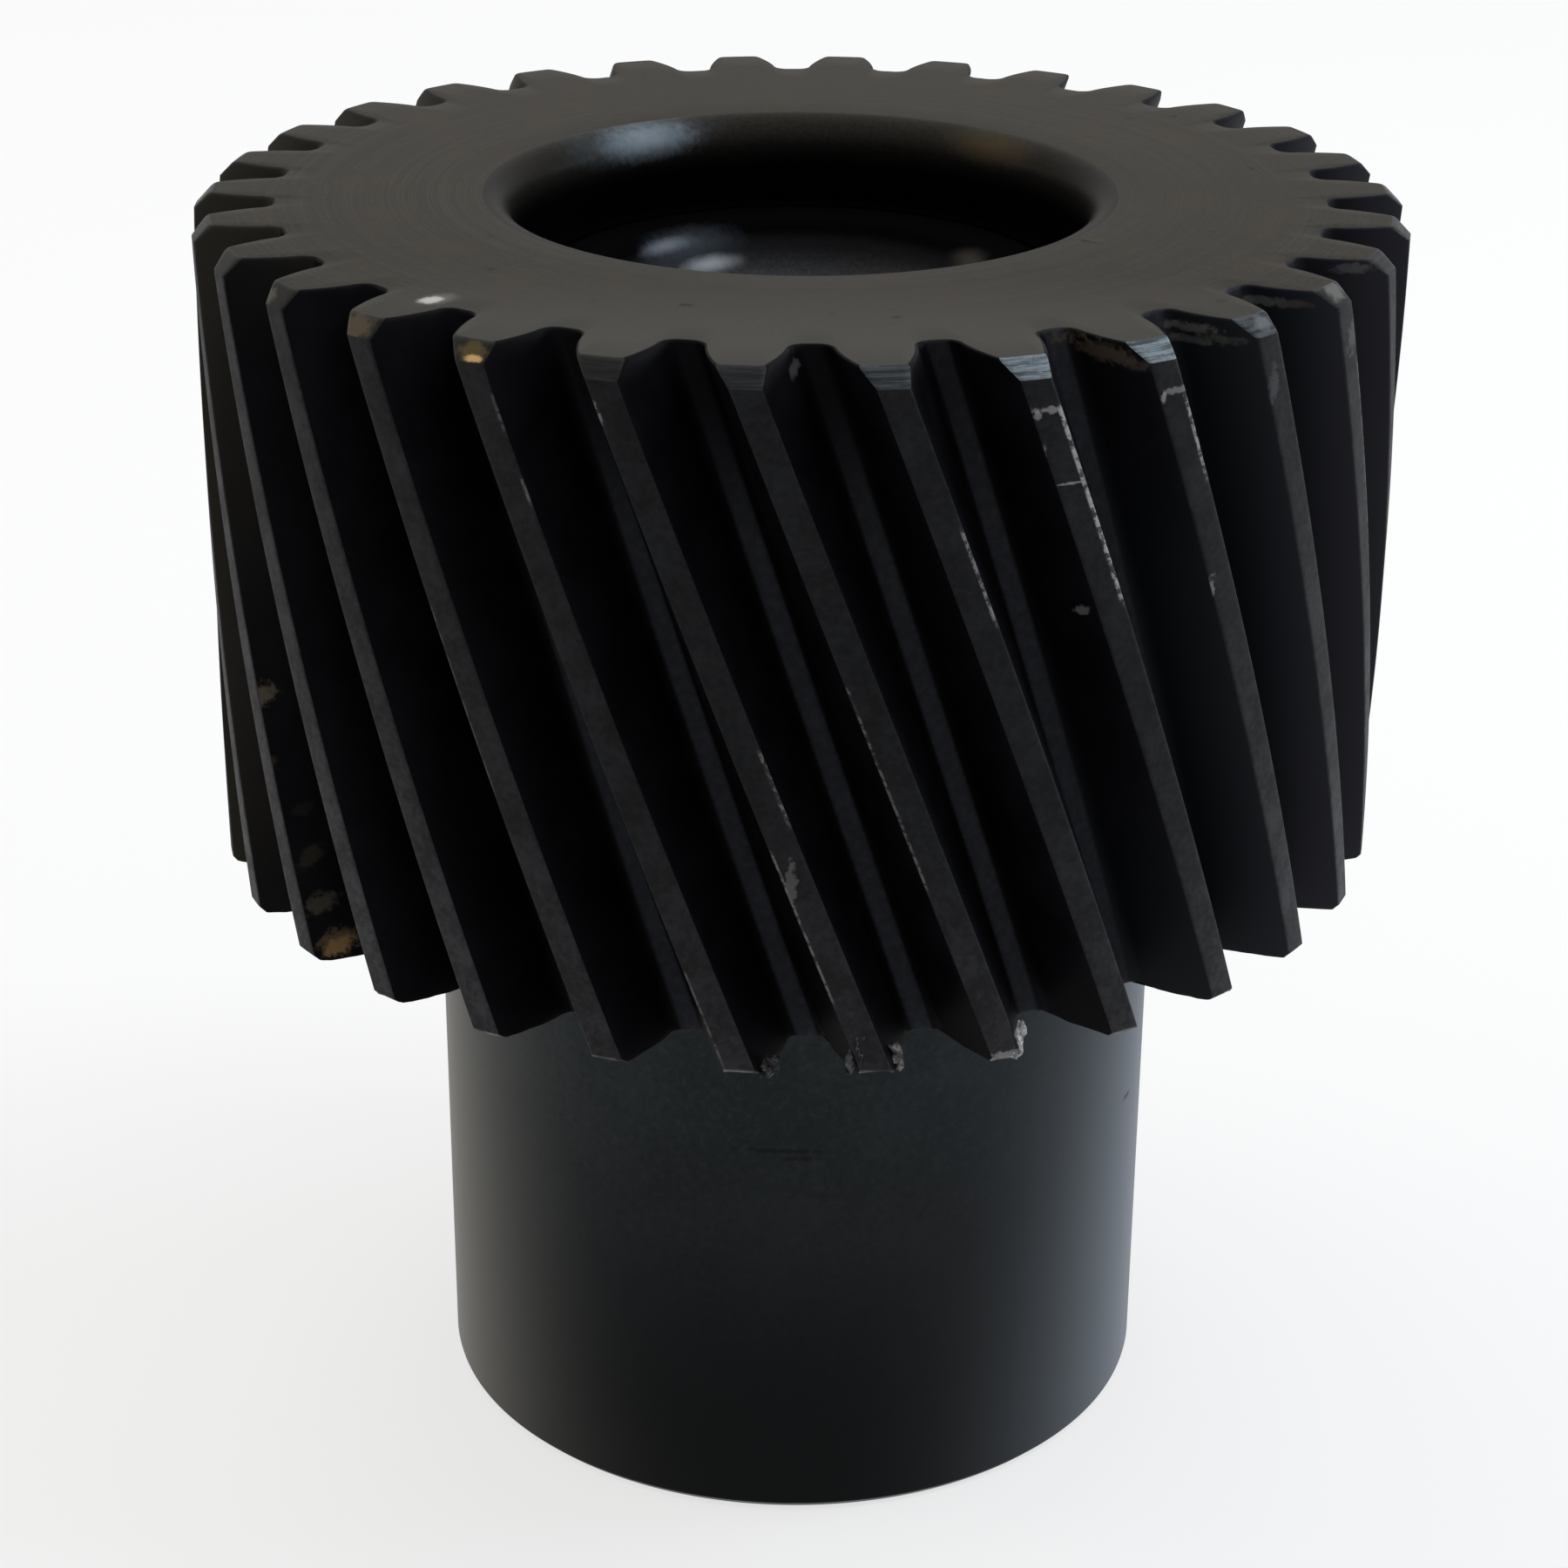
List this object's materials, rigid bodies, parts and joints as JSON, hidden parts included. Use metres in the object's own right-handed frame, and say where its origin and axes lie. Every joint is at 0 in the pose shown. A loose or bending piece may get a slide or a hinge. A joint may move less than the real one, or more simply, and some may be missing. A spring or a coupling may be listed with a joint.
{
  "type": "helical gear",
  "caption": "Left-hand helical gear with a long plain hub, a shaft bore through it and a washer recess in the toothed face.",
  "frame": {"origin": "centre of the hub's end face, which the gear stands on", "axes": "+Z along the gear's axis, from the hub's end towards the toothed face; -Y is the front"},
  "size_m": [0.0676, 0.0676, 0.074],
  "materials": {
    "ring_steel": "black-oxide steel, fine turned toothed face, dark hobbed flanks",
    "hub_steel": "black-oxide steel, smooth turned satin"
  },
  "bodies": {
    "root": {"toothed_ring": "ring_steel", "hub": "hub_steel"}
  },
  "joints": []
}
